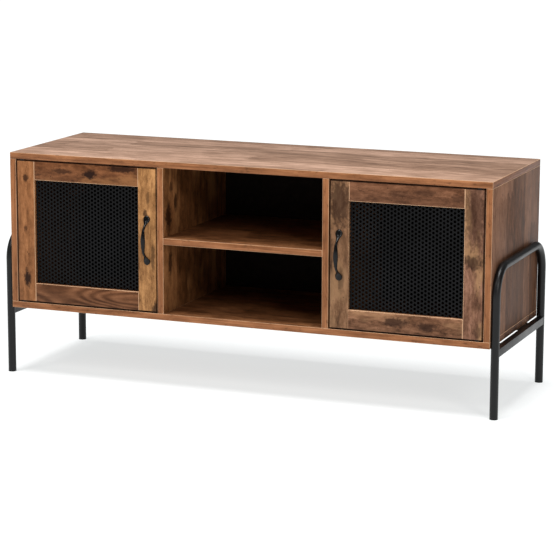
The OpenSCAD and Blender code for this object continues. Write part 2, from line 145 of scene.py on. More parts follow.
camera = bpy.data.objects.new("camera", bpy.data.cameras.new("camera"))
bpy.context.scene.collection.objects.link(camera)
camera.data.lens = CAMERA_LENS
camera.data.clip_end = 200
aim = Matrix.Rotation(CAMERA_TURN, 4, "Z") @ Matrix.Rotation(math.radians(90) - CAMERA_DOWN, 4, "X")
camera.matrix_world = Matrix.Translation(CAMERA_AT) @ aim @ Matrix.Rotation(CAMERA_ROLL, 4, "Z")
bpy.context.scene.camera = camera
print("camera at", CAMERA_AT, "lens", CAMERA_LENS)

# %% [markdown]
# ## Room and light
# A white table that glows a little from below, as in a product studio, keeps the shadow pale.
# One soft light almost straight overhead lights the top and the whole floor evenly, so the shadow
# lies between the legs. Two boxes light the doors, one from each side. The right one stands low
# and far out, so the right divider keeps it out of most of the open bay. The floor is far larger
# than the stand, so that its edge stays out of sight from a low angle too.


# %% Room and light
def plain_material(name, colour, roughness):
    material = bpy.data.materials.new(name)
    material.use_nodes = True
    shader = material.node_tree.nodes["Principled BSDF"]
    shader.inputs["Base Color"].default_value = (*colour, 1)
    shader.inputs["Roughness"].default_value = roughness
    return material


FLOOR_SIZE = 300
FLOOR_GREY = (0.34, 0.34, 0.34)
FLOOR_GLOW = 0.69
GLOW_COLOUR = (0.965, 0.995, 1, 1)
bpy.ops.object.select_all(action="DESELECT")
bpy.ops.mesh.primitive_plane_add(size=FLOOR_SIZE, location=(0, 0, 0))
floor = bpy.context.object
floor.name = "floor"
floor_white = plain_material("floor_white", FLOOR_GREY, 0.95)
floor_shader = floor_white.node_tree.nodes["Principled BSDF"]
floor_shader.inputs["Emission Color"].default_value = GLOW_COLOUR
floor_shader.inputs["Emission Strength"].default_value = FLOOR_GLOW
floor_shader.inputs["Specular IOR Level"].default_value = 0
floor.data.materials.append(floor_white)
floor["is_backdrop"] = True


def hang(name, light, direction, at=(0, 0, 0)):
    """Puts a light at a place, shining in a direction."""
    lamp = bpy.data.objects.new(name, light)
    lamp.location = at
    lamp.rotation_euler = Vector(direction).to_track_quat("-Z", "Y").to_euler()
    bpy.context.scene.collection.objects.link(lamp)


STAND_MIDDLE = Vector((0, 0, 0.3))
WARM_WHITE = (1, 0.98, 0.95)
SOFT_BOXES = {"left_box": ((-2.6, -4.4, 5.6), 1.6, 100), "right_box": ((3.2, -3.0, 2.6), 1.2, 62)}
for name, (at, size, watts) in SOFT_BOXES.items():
    light = bpy.data.lights.new(name, "AREA")
    light.shape = "RECTANGLE"
    light.size = light.size_y = size
    light.energy = watts
    light.color = WARM_WHITE
    hang(name, light, STAND_MIDDLE - Vector(at), at)

OVERHEAD_POWER = 3.3
OVERHEAD_WIDTH = math.radians(24)
OVERHEAD_DIRECTION = (0.04, 0.1, -1)
overhead = bpy.data.lights.new("overhead_light", "SUN")
overhead.energy = OVERHEAD_POWER
overhead.angle = OVERHEAD_WIDTH
hang("overhead_light", overhead, OVERHEAD_DIRECTION)

ROOM_LIGHT = 0.15
world = bpy.data.worlds.new("studio")
bpy.context.scene.world = world
world.use_nodes = True
world.node_tree.nodes["Background"].inputs["Color"].default_value = (1, 1, 1, 1)
world.node_tree.nodes["Background"].inputs["Strength"].default_value = ROOM_LIGHT
bpy.context.scene.view_settings.view_transform = "Standard"

# %% [markdown]
# ## Writing a material as a recipe
# Each finish below is a short recipe. The small class only shortens the typing: one method for
# each kind of node, which takes numbers or other nodes' outputs. Every pattern starts from the
# piece's own coordinates in metres, so a grain line has its true width on every board, and it
# swings with the door.


# %% The recipe class
def paint(red, green, blue):
    """A colour given as screen values from 0 to 255, as the linear values that nodes use."""
    def linear(value):
        share = value / 255
        return share / 12.92 if share <= 0.04045 else ((share + 0.055) / 1.055) ** 2.4
    return (linear(red), linear(green), linear(blue), 1)


class Recipe:
    def __init__(self, name):
        self.material = bpy.data.materials.new(name)
        self.material.use_nodes = True
        self.tree = self.material.node_tree
        self.shader = self.tree.nodes["Principled BSDF"]
        self.place = self.add("ShaderNodeTexCoord").outputs["Object"]

    def add(self, kind, **settings):
        node = self.tree.nodes.new(kind)
        for key, value in settings.items():
            setattr(node, key, value)
        return node

    def feed(self, socket, value):
        if isinstance(value, bpy.types.NodeSocket):
            self.tree.links.new(value, socket)
        else:
            socket.default_value = value

    def set(self, **inputs):
        """Sets or links the shader's own inputs, named with _ for a space."""
        for key, value in inputs.items():
            self.feed(self.shader.inputs[key.replace("_", " ")], value)

    def sum(self, operation, a, b=0.0, c=0.0):
        node = self.add("ShaderNodeMath", operation=operation)
        for socket, value in zip(node.inputs, (a, b, c)):
            self.feed(socket, value)
        return node.outputs[0]

    def split(self):
        return self.add_linked("ShaderNodeSeparateXYZ", self.place).outputs

    def add_linked(self, kind, value, **settings):
        node = self.add(kind, **settings)
        self.feed(node.inputs[0], value)
        return node

    def join(self, x, y, z):
        node = self.add("ShaderNodeCombineXYZ")
        for socket, value in zip(node.inputs, (x, y, z)):
            self.feed(socket, value)
        return node.outputs[0]

    def mapped(self, place, scale, at=(0, 0, 0)):
        node = self.add_linked("ShaderNodeMapping", place)
        node.inputs["Scale"].default_value = scale
        node.inputs["Location"].default_value = at
        return node.outputs[0]

    def noise(self, place, scale=(1, 1, 1), detail=2.0, roughness=0.5, at=(0, 0, 0)):
        node = self.add_linked("ShaderNodeTexNoise", self.mapped(place, scale, at))
        node.inputs["Scale"].default_value = 1
        node.inputs["Detail"].default_value = detail
        node.inputs["Roughness"].default_value = roughness
        return node.outputs[0]

    def span(self, value, low, high, to_low=0.0, to_high=1.0):
        """Turns low..high into to_low..to_high with soft ends."""
        node = self.add_linked("ShaderNodeMapRange", value, interpolation_type="SMOOTHSTEP")
        for socket, number in zip(node.inputs[1:5], (low, high, to_low, to_high)):
            socket.default_value = number
        return node.outputs[0]

    def ramp(self, value, stops):
        node = self.add_linked("ShaderNodeValToRGB", value)
        elements = node.color_ramp.elements
        while len(elements) < len(stops):
            elements.new(0.5)
        for element, (at, colour) in zip(elements, stops):
            element.position = at
            element.color = colour
        return node.outputs[0]

    def mix(self, share, a, b, blend="MIX"):
        node = self.add("ShaderNodeMix", data_type="RGBA", blend_type=blend)
        for socket, value in zip((node.inputs[0], node.inputs[6], node.inputs[7]), (share, a, b)):
            self.feed(socket, value)
        return node.outputs[2]

    def bump(self, height, distance, strength=1.0):
        node = self.add("ShaderNodeBump")
        node.inputs["Strength"].default_value = strength
        node.inputs["Distance"].default_value = distance
        self.feed(node.inputs["Height"], height)
        self.set(Normal=node.outputs[0])


print("a recipe is ready to write")

# %% [markdown]
# ## The printed wood
# The boards carry a printed paper that looks like reclaimed planks: strips of different tone
# that end in staggered places, streaks along the grain, cloudy blotches, a cathedral figure, dark
# smudges and specks, and a few knots. A picture of wood would be simpler, but it has one size and
# repeats. Layers of noise fit every board, so each layer gets a small helper, and one function
# stacks them. First come the tones: four of them, from the dark streaks to the pale ones.

# %% Wood tones
INK = paint(40, 20, 11)
TONE_STEPS = ((0.0, 0.2), (0.36, 0.68), (0.62, 1.1), (1.0, 1.85))
CHANNEL_BENDS = (1, 1.12, 1.25)


def shades(red, green, blue, spread=1.0):
    """Four tones of one wood, from its dark streaks to its pale ones, round a middle colour."""
    middle = paint(red, green, blue)[:3]
    tones = []
    for at, share in TONE_STEPS:
        # the dark tones are redder than the pale ones
        factors = [share ** (spread * bend) for bend in CHANNEL_BENDS]
        tones.append((at, tuple(min(1, c * f) for c, f in zip(middle, factors)) + (1,)))
    return tones


print("tones of a brown wood:", [[round(c, 3) for c in tint[:3]] for at, tint in shades(150, 99, 62)])

# %% [markdown]
# Each knot is listed as the printer's artwork has it: where it is along and across the
# grain, its half length and half width, and how dark it is. Its outline is an ellipse made ragged
# by noise, and the grain lines bend round it.

# %% Knots
RAGGED_SCALE = (90, 130, 90)
RAGGED_DEPTH = 2.6
KNOT_CORE, KNOT_RIM = 0.7, 1.7
BEND_CORE, BEND_RIM = 0.5, 3.0
GRAIN_BEND = 0.008


def knotted(recipe, flat, across, knots):
    """How dark the knots make each place, and the place across the grain, bent round them."""
    ragged = recipe.noise(flat, RAGGED_SCALE, 4, 0.65)
    dark = None
    for at_u, at_v, half_u, half_v, depth in knots:
        near = recipe.mapped(flat, (1 / half_u, 1 / half_v, 0), (-at_u / half_u, -at_v / half_v, 0))
        away = recipe.add_linked("ShaderNodeVectorMath", near, operation="LENGTH").outputs["Value"]
        away = recipe.sum("MULTIPLY_ADD", recipe.sum("SUBTRACT", ragged, 0.5), RAGGED_DEPTH, away)
        bend = recipe.span(away, BEND_CORE, BEND_RIM, GRAIN_BEND, 0.0)
        across = recipe.sum("ADD", across, bend)
        one = recipe.span(away, KNOT_CORE, KNOT_RIM, depth, 0.0)
        dark = one if dark is None else recipe.sum("MAXIMUM", dark, one)
    return dark, across


print("a knot bends the grain by", 1000 * GRAIN_BEND, "mm")

# %% [markdown]
# The strips are a brick pattern with no mortar. Its ends are made ragged, and each strip gets a
# tone of its own.

# %% Plank strips
STRIP_OFFSET, STRIP_OFFSET_EVERY = 0.37, 3
END_SCALE = (5, 55, 5)
END_RAGGED = 0.07


def strip_tones(recipe, flat, along, across, plank):
    """A tone from 0 to 1 for each strip, of a given length and width."""
    ragged = recipe.sum("MULTIPLY_ADD", recipe.noise(flat, END_SCALE, 2), END_RAGGED, along)
    strips = recipe.add_linked("ShaderNodeTexBrick", recipe.join(ragged, across, 0),
                               offset=STRIP_OFFSET, offset_frequency=STRIP_OFFSET_EVERY)
    settings = {"Color1": (0, 0, 0, 1), "Color2": (1, 1, 1, 1), "Scale": 1, "Mortar Size": 0,
                "Brick Width": plank[0], "Row Height": plank[1]}
    for key, value in settings.items():
        strips.inputs[key].default_value = value
    return recipe.span(strips.outputs["Color"], 0, 1)


print("strips are staggered by", STRIP_OFFSET, "every", STRIP_OFFSET_EVERY, "rows")

# %% [markdown]
# The print itself stacks the layers. The first number of each noise scale is along the grain and
# the others across it, in features per metre, so a small first number draws long streaks. Each
# layer moves the tone up or down, and dark ink for knots, smudges and specks goes on last.

# %% Wood print
WANDER = 0.035
STREAK_SCALE = (9, 70, 70)
FIBRE_SCALE = (22, 420, 420)
RING_SCALE = (3.6, 17, 17)
RING_COUNT = 75
FIBRE_SHARE = 0.2
SOFT_LOW, SOFT_HIGH = 0.34, 0.66
SMUDGE_SCALE = (20, 45, 45)
SPECK_SCALE = (130, 210, 210)
SEED_STEP = 0.731


def wood_print(name, along, across, tones, seed=0, plank=(0.42, 0.085), patch=0.3, streak=0.3,
               cloud=0.5, cloud_size=(0.055, 0.026), figure=0.03, smudge=0.6, smudge_from=0.555,
               knots=(), tan=None, gloss=0.12):
    recipe = Recipe(name)
    xyz = dict(zip("XYZ", recipe.split()))
    through = ({"X", "Y", "Z"} - {along, across}).pop()
    u, v, w = xyz[along], xyz[across], recipe.sum("ADD", xyz[through], SEED_STEP * seed + 3)
    flat = recipe.join(u, v, w)
    # the grain wanders a little, and bends round each knot
    v = recipe.sum("MULTIPLY_ADD", recipe.noise(flat, (4, 8, 8), 2), WANDER, v)
    knot_dark, v = knotted(recipe, flat, v, knots)
    grain = recipe.join(u, v, w)
    streaks = recipe.noise(grain, STREAK_SCALE, 6, 0.72)
    cloud_scale = (1 / cloud_size[0], 1 / cloud_size[1], 1 / cloud_size[1])
    clouds = recipe.noise(flat, cloud_scale, 8, 0.84, (2, seed, 0))
    fibres = recipe.noise(grain, FIBRE_SCALE, 2)
    rings = recipe.noise(grain, RING_SCALE, 0)
    loops = recipe.sum("SINE", recipe.sum("MULTIPLY", rings, RING_COUNT))
    middle = 0.5 - patch / 2 - streak / 2 - cloud / 2
    tone = recipe.sum("MULTIPLY_ADD", strip_tones(recipe, flat, u, v, plank), patch, middle)
    tone = recipe.sum("MULTIPLY_ADD", recipe.span(streaks, SOFT_LOW, SOFT_HIGH), streak, tone)
    tone = recipe.sum("MULTIPLY_ADD", recipe.span(clouds, SOFT_LOW, SOFT_HIGH), cloud, tone)
    tone = recipe.sum("MULTIPLY_ADD", loops, figure, tone)
    tone = recipe.sum("MULTIPLY_ADD", recipe.sum("SUBTRACT", fibres, 0.5), FIBRE_SHARE, tone)
    colour = recipe.ramp(tone, tones)
    if tan:
        patches = recipe.noise(flat, (7, 20, 20), 4, 0.6, (7, seed, 0))
        colour = recipe.mix(recipe.span(patches, 0.5, 0.66, 0, tan[1]), colour, tan[0])
    smudges = recipe.noise(flat, SMUDGE_SCALE, 8, 0.84, (seed, 5, 0))
    dark = recipe.span(smudges, smudge_from, smudge_from + 0.1, 0, smudge)
    specks = recipe.noise(flat, SPECK_SCALE, 2, 0.6, (seed, 9, 0))
    dark = recipe.sum("MAXIMUM", dark, recipe.span(specks, 0.66, 0.74, 0, 0.7))
    if knot_dark is not None:
        dark = recipe.sum("MAXIMUM", dark, knot_dark)
    colour = recipe.mix(dark, colour, INK)
    recipe.set(Base_Color=colour, Roughness=recipe.span(streaks, 0.2, 0.8, 0.4, 0.54),
               Specular_IOR_Level=gloss)
    recipe.bump(recipe.sum("ADD", fibres, recipe.sum("MULTIPLY", dark, -0.5)), 0.00012, 0.6)
    return recipe.material


print("wood print is ready")

# %% [markdown]
# ## Edge banding
# The raw edge of a board shows its core, so the maker irons on a strip of plain orange-brown
# banding. It is a simpler print than the faces: an even tone, with fine fibres along the edge and
# a few dark flecks. The same recipe makes the pale line where a corner is trimmed back, and the
# dark rim round a door: a painted shadow, near black, which deepens the line of its gap.


# %% Edge banding
BAND_FIBRES = 0.55


def drawn_out(along, length_scale, width_scale):
    """A noise scale that is drawn out along one axis."""
    return tuple(length_scale if axis == along else width_scale for axis in "XYZ")


def banding(name, along, colour=(158, 104, 68), spread=0.75):
    recipe = Recipe(name)
    fibres = recipe.noise(recipe.place, drawn_out(along, 9, 260), 3)
    clouds = recipe.noise(recipe.place, drawn_out(along, 22, 90), 4, 0.7)
    flecks = recipe.noise(recipe.place, drawn_out(along, 60, 190), 3, 0.6, (3, 1, 4))
    cloud_tone = recipe.sum("MULTIPLY", clouds, 1 - BAND_FIBRES)
    tone = recipe.sum("MULTIPLY_ADD", fibres, BAND_FIBRES, cloud_tone)
    stops = [(0.25 + 0.5 * at, tint) for at, tint in shades(*colour, spread)]
    colour = recipe.mix(recipe.span(flecks, 0.6, 0.7, 0, 0.45), recipe.ramp(tone, stops), INK)
    recipe.set(Base_Color=colour, Roughness=0.46, Specular_IOR_Level=0.12)
    recipe.bump(fibres, 0.00008, 0.5)
    return recipe.material


band = {axis: banding("edge_banding_" + axis.lower(), axis) for axis in "XZ"}
end_band = banding("end_banding", "Y", (130, 88, 65), 0.7)
arris = {axis: banding("worn_corner_" + axis.lower(), axis, (216, 174, 138), 0.3)
         for axis in "XZ"}
# painted shadow: a near-black finish for the door's outer eased corners, which deepens the gap's line
painted_gap_shadow = banding("painted_gap_shadow", "Z", (30, 17, 11), 0.4)
print("bandings:", sorted(m.name for m in band.values()))

# %% [markdown]
# ## Eased boards
# A sawn board is never razor sharp: its corners are eased by half a millimetre or more, and that
# thin line is what catches the light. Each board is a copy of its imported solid. The copy's
# doubled corners are merged, its flat faces are joined again, and a bevel runs along the outer
# corners only, so that every bore and groove stays as it is.

# %% Eased copies
EASE = 0.6 * MM
NEAR = 0.02 * MM
FLAT_JOIN = math.radians(0.5)


def copy_of(node, name):
    """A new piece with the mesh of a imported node, merged and with its flat faces joined."""
    piece = bpy.data.objects.new(name, frame["nodes"][node].data.copy())
    bpy.context.scene.collection.objects.link(piece)
    piece.data.materials.clear()
    edit(piece)
    bpy.ops.mesh.select_all(action="SELECT")
    bpy.ops.mesh.customdata_custom_splitnormals_clear()
    bpy.ops.mesh.remove_doubles(threshold=NEAR / 2)
    bpy.ops.mesh.dissolve_limited(angle_limit=FLAT_JOIN, delimit={"NORMAL"})
    return piece


def outer_edge(node):
    """A test for edges that lie where two sides of the node's box meet."""
    low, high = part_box(node)

    def on_sides(edge):
        shared = 0
        for axis in range(3):
            for side in (low[axis], high[axis]):
                if all(abs(vert.co[axis] - side) < NEAR for vert in edge.verts):
                    shared += 1
        return shared >= 2
    return on_sides


def eased(node, name, width=EASE, segments=2):
    piece = copy_of(node, name)
    bpy.ops.mesh.select_mode(type="EDGE")
    select(piece, edges=outer_edge(node))
    bpy.ops.mesh.bevel(offset=width, segments=segments, affect="EDGES", clamp_overlap=True)
    return done(piece, name)


print("corners are eased by", round(1000 * EASE, 1), "mm")

# %% [markdown]
# A board shows several finishes at once: the print on its faces, banding on the edges that have
# it, and a worn, pale finish on its eased corners. Each face is given its finish by where it lies
# and which way it points. Round the outside of a door, the corners get a painted shadow instead,
# near black, so that the gap's line looks deeper.

# %% Finishes by side
FLAT = 0.995
WORN_SLOT, FIRST_SIDE_SLOT = 1, 2


def cover(piece, main, worn, **sides):
    """Gives the whole piece one finish, others to the sides named, and one to its eased corners."""
    turns = {"front": (0, -1, 0), "back": (0, 1, 0), "left": (-1, 0, 0), "right": (1, 0, 0),
             "top": (0, 0, 1), "bottom": (0, 0, -1)}
    low = Vector(min(v.co[i] for v in piece.data.vertices) for i in range(3))
    high = Vector(max(v.co[i] for v in piece.data.vertices) for i in range(3))
    piece.data.materials.append(main)
    piece.data.materials.append(worn)
    for slot, (side, material) in enumerate(sides.items(), FIRST_SIDE_SLOT):
        piece.data.materials.append(material)
        turn = Vector(turns[side])
        corner = Vector(high[i] if turn[i] > 0 else low[i] for i in range(3))
        for face in piece.data.polygons:
            depth = abs((face.center - corner).dot(turn))
            if depth < NEAR and face.normal.dot(turn) > FLAT:
                face.material_index = slot
    for face in piece.data.polygons:
        if max(abs(part) for part in face.normal) < FLAT:
            face.material_index = WORN_SLOT
    return piece


def paint_gap_shadow(piece, low, high, reach):
    """Paints a gap shadow, near black, on the eased corners round a box, seen from the front."""
    piece.data.materials.append(painted_gap_shadow)
    for face in piece.data.polygons:
        rim = min(*(abs(face.center[i] - low[i]) for i in (0, 2)),
                  *(abs(face.center[i] - high[i]) for i in (0, 2)))
        if rim < reach and face.material_index == WORN_SLOT:
            face.material_index = len(piece.data.materials) - 1


def board(node, name, main, worn, width=EASE, **sides):
    piece = cover(eased(node, name, width), main, worn, **sides)
    settle(piece, body_of[node], node)
    print(f"{name}: {len(piece.data.polygons)} faces")
    return piece


print("finishes go on by side")

# %% [markdown]
# ## Carcass
# The top runs its planks from end to end. The sides and dividers run theirs upright. Each board
# is cut from another part of the printed sheet, so each has its own tones and figure. The top's
# pale, greyish tan is partly its print and partly a painted sheen, the glancing reflection a top
# shows from a low view. The lower corners of the top board take no wear, so they keep the tone
# of its banding.

# %% Carcass boards
# the top's pale, greyish tones are partly its print and partly a painted sheen
TOP_PRINT_AND_SHEEN = shades(168, 134, 113, 0.9)
SIDE = shades(116, 82, 62)
FLAT_WOOD = shades(116, 75, 46)
DIVIDER = shades(128, 84, 50)

top_print_and_sheen = wood_print("print_top_and_sheen", "X", "Y", TOP_PRINT_AND_SHEEN, seed=1, plank=(0.36, 0.062), patch=0.3,
                       streak=0.3, cloud=0.3, cloud_size=(0.16, 0.04), smudge=0.3, gloss=0.25)
side_print = {side: wood_print("print_side_" + side, "Z", "Y", SIDE, seed=seed,
                               plank=(0.26, 0.05), patch=0.4, streak=0.25, cloud=0.3,
                               cloud_size=(0.12, 0.05), smudge=0.25, gloss=0.05)
              for side, seed in (("left", 2), ("right", 3))}
DIVIDER_KNOTS = ((0.40, -0.155, 0.026, 0.014, 0.95), (0.43, -0.115, 0.018, 0.008, 0.85),
                 (0.47, -0.14, 0.01, 0.008, 0.7), (0.29, -0.145, 0.02, 0.009, 0.8))
DIVIDER_TAN = (paint(176, 126, 80), 0.5)
divider_print = {side: wood_print("print_divider_" + side, "Z", "Y", DIVIDER, seed=seed,
                                  plank=(0.4, 0.09), knots=DIVIDER_KNOTS, tan=DIVIDER_TAN)
                 for side, seed in (("left", 4), ("right", 5))}
flat_print = wood_print("print_flat", "X", "Y", FLAT_WOOD, seed=6, smudge=0.7)

print("prints:", top_print_and_sheen.name, flat_print.name, "and one for each side and divider")

# %% Cover the boards
END_BAND_SLOT = FIRST_SIDE_SLOT + 1
top_board = board("top_panel", "top_board", top_print_and_sheen, arris["X"], front=band["X"],
                  left=end_band, right=end_band)
top_low, top_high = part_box("top_panel")
for face in top_board.data.polygons:
    if face.material_index == WORN_SLOT and face.center.z < (top_low.z + top_high.z) / 2:
        face.material_index = END_BAND_SLOT
board("bottom_panel", "bottom_board", flat_print, arris["X"], front=band["X"],
      left=side_print["left"], right=side_print["right"])
board("middle_shelf", "shelf_board", flat_print, arris["X"], front=band["X"])
for side in ("left", "right"):
    board(side + "_side_panel", side + "_side_board", side_print[side], arris["Z"],
          front=band["Z"])
    board(side + "_divider", side + "_divider_board", divider_print[side], arris["Z"],
          front=band["Z"])

# %% [markdown]
# ## Door frames
# Two stiles run the full height and two rails fit between them. The four members come from
# different planks of the print, so their tones and knots jump at every joint. The table gives each
# member its middle tone and its figure; the knots of a stile are placed by height and then across,
# those of a rail across and then by height.

# %% Door frame members
DOOR_EASE = 1.1 * MM
MEMBERS = {
    ("left", "hinge_stile"): (shades(150, 99, 62), dict(
        patch=0.1, cloud=0.35, smudge=0.1,
        knots=((0.478, -0.554, 0.007, 0.006, 0.8), (0.354, -0.556, 0.005, 0.004, 0.6),
               (0.235, -0.553, 0.016, 0.007, 0.95)))),
    ("left", "lock_stile"): (shades(166, 118, 73), dict(
        patch=0.1, smudge=0.3,
        knots=((0.412, -0.243, 0.007, 0.004, 0.8), (0.446, -0.236, 0.012, 0.003, 0.5),
               (0.31, -0.224, 0.025, 0.004, 0.6), (0.186, -0.219, 0.012, 0.006, 0.8)))),
    ("left", "top_rail"): (shades(118, 73, 44), dict(
        patch=0.1, tan=(paint(170, 116, 72), 0.6),
        knots=((-0.456, 0.498, 0.02, 0.005, 0.7), (-0.384, 0.494, 0.014, 0.009, 0.98),
               (-0.301, 0.511, 0.034, 0.006, 0.9)))),
    ("left", "bottom_rail"): (shades(118, 77, 51), dict(
        patch=0.1, streak=0.2, cloud=0.2, figure=0.2, smudge=0.2)),
    ("right", "hinge_stile"): (shades(122, 85, 65), dict(
        cloud=0.6, tan=(paint(180, 138, 98), 0.75),
        knots=((0.46, 0.556, 0.06, 0.02, 0.6), (0.354, 0.552, 0.012, 0.018, 0.75),
               (0.195, 0.567, 0.014, 0.007, 0.5)))),
    ("right", "lock_stile"): (shades(122, 87, 61), dict(
        cloud=0.6, tan=(paint(170, 130, 94), 0.6),
        knots=((0.47, 0.238, 0.045, 0.02, 0.75), (0.29, 0.243, 0.02, 0.006, 0.5)))),
    ("right", "top_rail"): (shades(114, 75, 52), dict(
        patch=0.1,
        knots=((0.379, 0.496, 0.022, 0.006, 0.4), (0.44, 0.502, 0.02, 0.006, 0.5),
               (0.518, 0.494, 0.014, 0.007, 0.4)))),
    ("right", "bottom_rail"): (shades(134, 94, 69), dict(
        cloud=0.6, tan=(paint(176, 134, 98), 0.6),
        knots=((0.375, 0.204, 0.022, 0.009, 0.8), (0.448, 0.199, 0.018, 0.008, 0.8))))}
for seed, ((side, member), (tones, figure)) in enumerate(MEMBERS.items(), 11):
    node = side + "_" + member
    along, across = ("Z", "X") if member.endswith("stile") else ("X", "Z")
    finish = wood_print("print_" + node, along, across, tones, seed=seed, plank=(0.6, 0.12),
                        **figure)
    member_piece = board(node, node + "_member", finish, arris[along], DOOR_EASE)
    corners = [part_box(side + "_" + stile) for stile in ("hinge_stile", "lock_stile")]
    low = Vector(min(box[0][i] for box in corners) for i in range(3))
    high = Vector(max(box[1][i] for box in corners) for i in range(3))
    # the outer corners of the door get the painted gap shadow
    paint_gap_shadow(member_piece, low, high, DOOR_EASE)

# %% [markdown]
# ## Perforated sheets
# The door panels are perforated sheet: 1 mm steel punched with round holes in staggered rows,
# cut from a larger sheet, so the pattern runs on to the edge under the frame. A real hole shows
# depth and lets light through, which a picture of holes can't do. One cell is modelled: a
# square rim bridged to a round hole. Arrays repeat it, the sheet is trimmed, and it gets its
# thickness last.

# %% Hole pattern
HOLE_PITCH = 9.5 * MM
COLUMN_PITCH = 8.2 * MM
HOLE_RADIUS = 3.2 * MM
RIM_POINTS = 16
INSIDE_CELL = 0.49


def repeat(piece, count, step):
    """Repeats a piece along a step with an applied array, and welds the copies."""
    only(piece)
    array = piece.modifiers.new("repeat", "ARRAY")
    array.count = count
    array.use_relative_offset = False
    array.use_constant_offset = True
    array.constant_offset_displace = step
    array.use_merge_vertices = True
    array.merge_threshold = NEAR
    bpy.ops.object.modifier_apply(modifier=array.name)


def trim(piece, at, outwards):
    """Cuts away all that lies beyond a plane."""
    bpy.ops.mesh.select_all(action="SELECT")
    bpy.ops.mesh.bisect(plane_co=at, plane_no=outwards, clear_outer=True, threshold=NEAR / 10)


print("holes are", round(2000 * HOLE_RADIUS, 1), "mm across,", round(1000 * HOLE_PITCH, 1), "mm apart")


# %% Perforated door sheets
def perforated_sheet(node, name):
    low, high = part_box(node)
    centre = (low + high) / 2
    columns = math.ceil((high.x - low.x) / COLUMN_PITCH / 2) + 1
    rows = math.ceil((high.z - low.z) / HOLE_PITCH) + 2
    start = (centre.x - (columns - 0.5) * COLUMN_PITCH, centre.z - (rows - 0.5) * HOLE_PITCH / 2)
    bpy.ops.object.select_all(action="DESELECT")
    bpy.ops.mesh.primitive_grid_add(x_subdivisions=4, y_subdivisions=4, size=1)
    piece = bpy.context.object
    edit(piece)
    select(piece, verts=lambda vert: max(abs(vert.co.x), abs(vert.co.y)) < INSIDE_CELL)
    bpy.ops.mesh.delete(type="VERT")
    bpy.ops.mesh.select_all(action="SELECT")
    bpy.ops.transform.resize(value=(COLUMN_PITCH, HOLE_PITCH, 1))
    bpy.ops.mesh.select_all(action="DESELECT")
    bpy.ops.mesh.primitive_circle_add(vertices=RIM_POINTS, radius=HOLE_RADIUS)
    bpy.ops.mesh.select_all(action="SELECT")
    bpy.ops.mesh.bridge_edge_loops()
    bpy.ops.mesh.select_all(action="SELECT")
    bpy.ops.transform.translate(value=(start[0], start[1], 0))
    bpy.ops.object.mode_set(mode="OBJECT")
    repeat(piece, rows, (0, HOLE_PITCH, 0))
    repeat(piece, 2, (COLUMN_PITCH, HOLE_PITCH / 2, 0))
    repeat(piece, columns, (2 * COLUMN_PITCH, 0, 0))
    piece.rotation_euler = (math.radians(90), 0, 0)
    piece.location = (0, centre.y, 0)
    only(piece)
    bpy.ops.object.transform_apply(location=True, rotation=True, scale=True)
    edit(piece)
    for corner, sign in ((low, -1), (high, 1)):
        trim(piece, corner, (sign, 0, 0))
        trim(piece, corner, (0, 0, sign))
    bpy.ops.mesh.select_all(action="SELECT")
    bpy.ops.mesh.remove_doubles(threshold=NEAR)
    bpy.ops.mesh.normals_make_consistent(inside=False)
    bpy.ops.object.mode_set(mode="OBJECT")
    wall = piece.modifiers.new("thickness", "SOLIDIFY")
    wall.thickness = high.y - low.y
    wall.offset = 0
    bpy.ops.object.modifier_apply(modifier=wall.name)
    done(piece, name, 40)
    print(f"{name}: {rows} rows, {2 * columns} columns, {len(piece.data.polygons)} faces")
    return piece


# %% [markdown]
# ## Black finishes
# Four blacks look different in the same light. The tube has a powder coat with a fine orange
# peel, the punched sheet is flatter, the handles have a smoother and glossier lacquer, and the
# plastic parts are dull and slightly grey. One recipe makes them all from a colour, a gloss and
# the size of the texture.


# %% Black finishes
def coated(name, colour, roughness, grain=900, peel=0.00006, specular=0.5):
    """A painted or moulded black: an uneven tone and gloss, and a fine surface texture."""
    recipe = Recipe(name)
    clouds = recipe.noise(recipe.place, (14, 14, 14), 3, 0.6)
    fine = recipe.noise(recipe.place, (grain, grain, grain), 2)
    light = tuple(min(1, 1.35 * c + 0.002) for c in colour[:3]) + (1,)
    dark = tuple(0.75 * c for c in colour[:3]) + (1,)
    recipe.set(Base_Color=recipe.mix(recipe.span(clouds, 0.3, 0.7), dark, light),
               Roughness=recipe.span(clouds, 0.25, 0.75, roughness - 0.05, roughness + 0.07),
               Specular_IOR_Level=specular)
    recipe.bump(fine, peel)
    return recipe.material


powder_coat = coated("powder_coat", paint(8, 8, 9), 0.34, specular=0.32)
sheet_paint = coated("sheet_paint", paint(9, 9, 11), 0.5, specular=0.15)
lacquer = coated("handle_lacquer", paint(4, 3, 3), 0.2, grain=500, peel=0.00003, specular=0.24)
black_plastic = coated("black_plastic", paint(13, 13, 13), 0.5, grain=1400, specular=0.3)
print("blacks:", powder_coat.name, sheet_paint.name, lacquer.name, black_plastic.name)

# %% Hang the sheets
for side in ("left", "right"):
    node = side + "_mesh_sheet"
    sheet = perforated_sheet(node, side + "_perforated_sheet")
    sheet.data.materials.append(sheet_paint)
    settle(sheet, body_of[node], node)

# %% [markdown]
# ## Door handles
# Each handle is a small forging: two spade-shaped pads that lie on the stile, thin necks, and a
# grip that bows out and is widest in the middle. It is drawn out like the real one: a ring is
# extruded up the handle, and at each step it is moved out to the arch and resized to the width
# there. The back is then cut flat against the door.

# %% Handle
PAD_CENTRE = 49.5 * MM
NECK_AT = 35 * MM
PAD_HALF, NECK_HALF, GRIP_HALF = 8.6 * MM, 2.8 * MM, 5.8 * MM
PAD_FROM, PAD_BLEND, PAD_THICK = 40 * MM, 10 * MM, 4.6 * MM
ARCH_FLAT, ARCH_FOOT_AT = 22 * MM, 52 * MM
ARCH_DROP, ARCH_FOOT = 2 * MM, 1.2 * MM
BAR_HALF_THICK = 3 * MM
TIP = 0.999
STATIONS = 44
RING_POINTS = 14


def wave(share):
    """Eases from 0 to 1 as a half cosine."""
    return (1 - math.cos(math.pi * min(max(share, 0), 1))) / 2


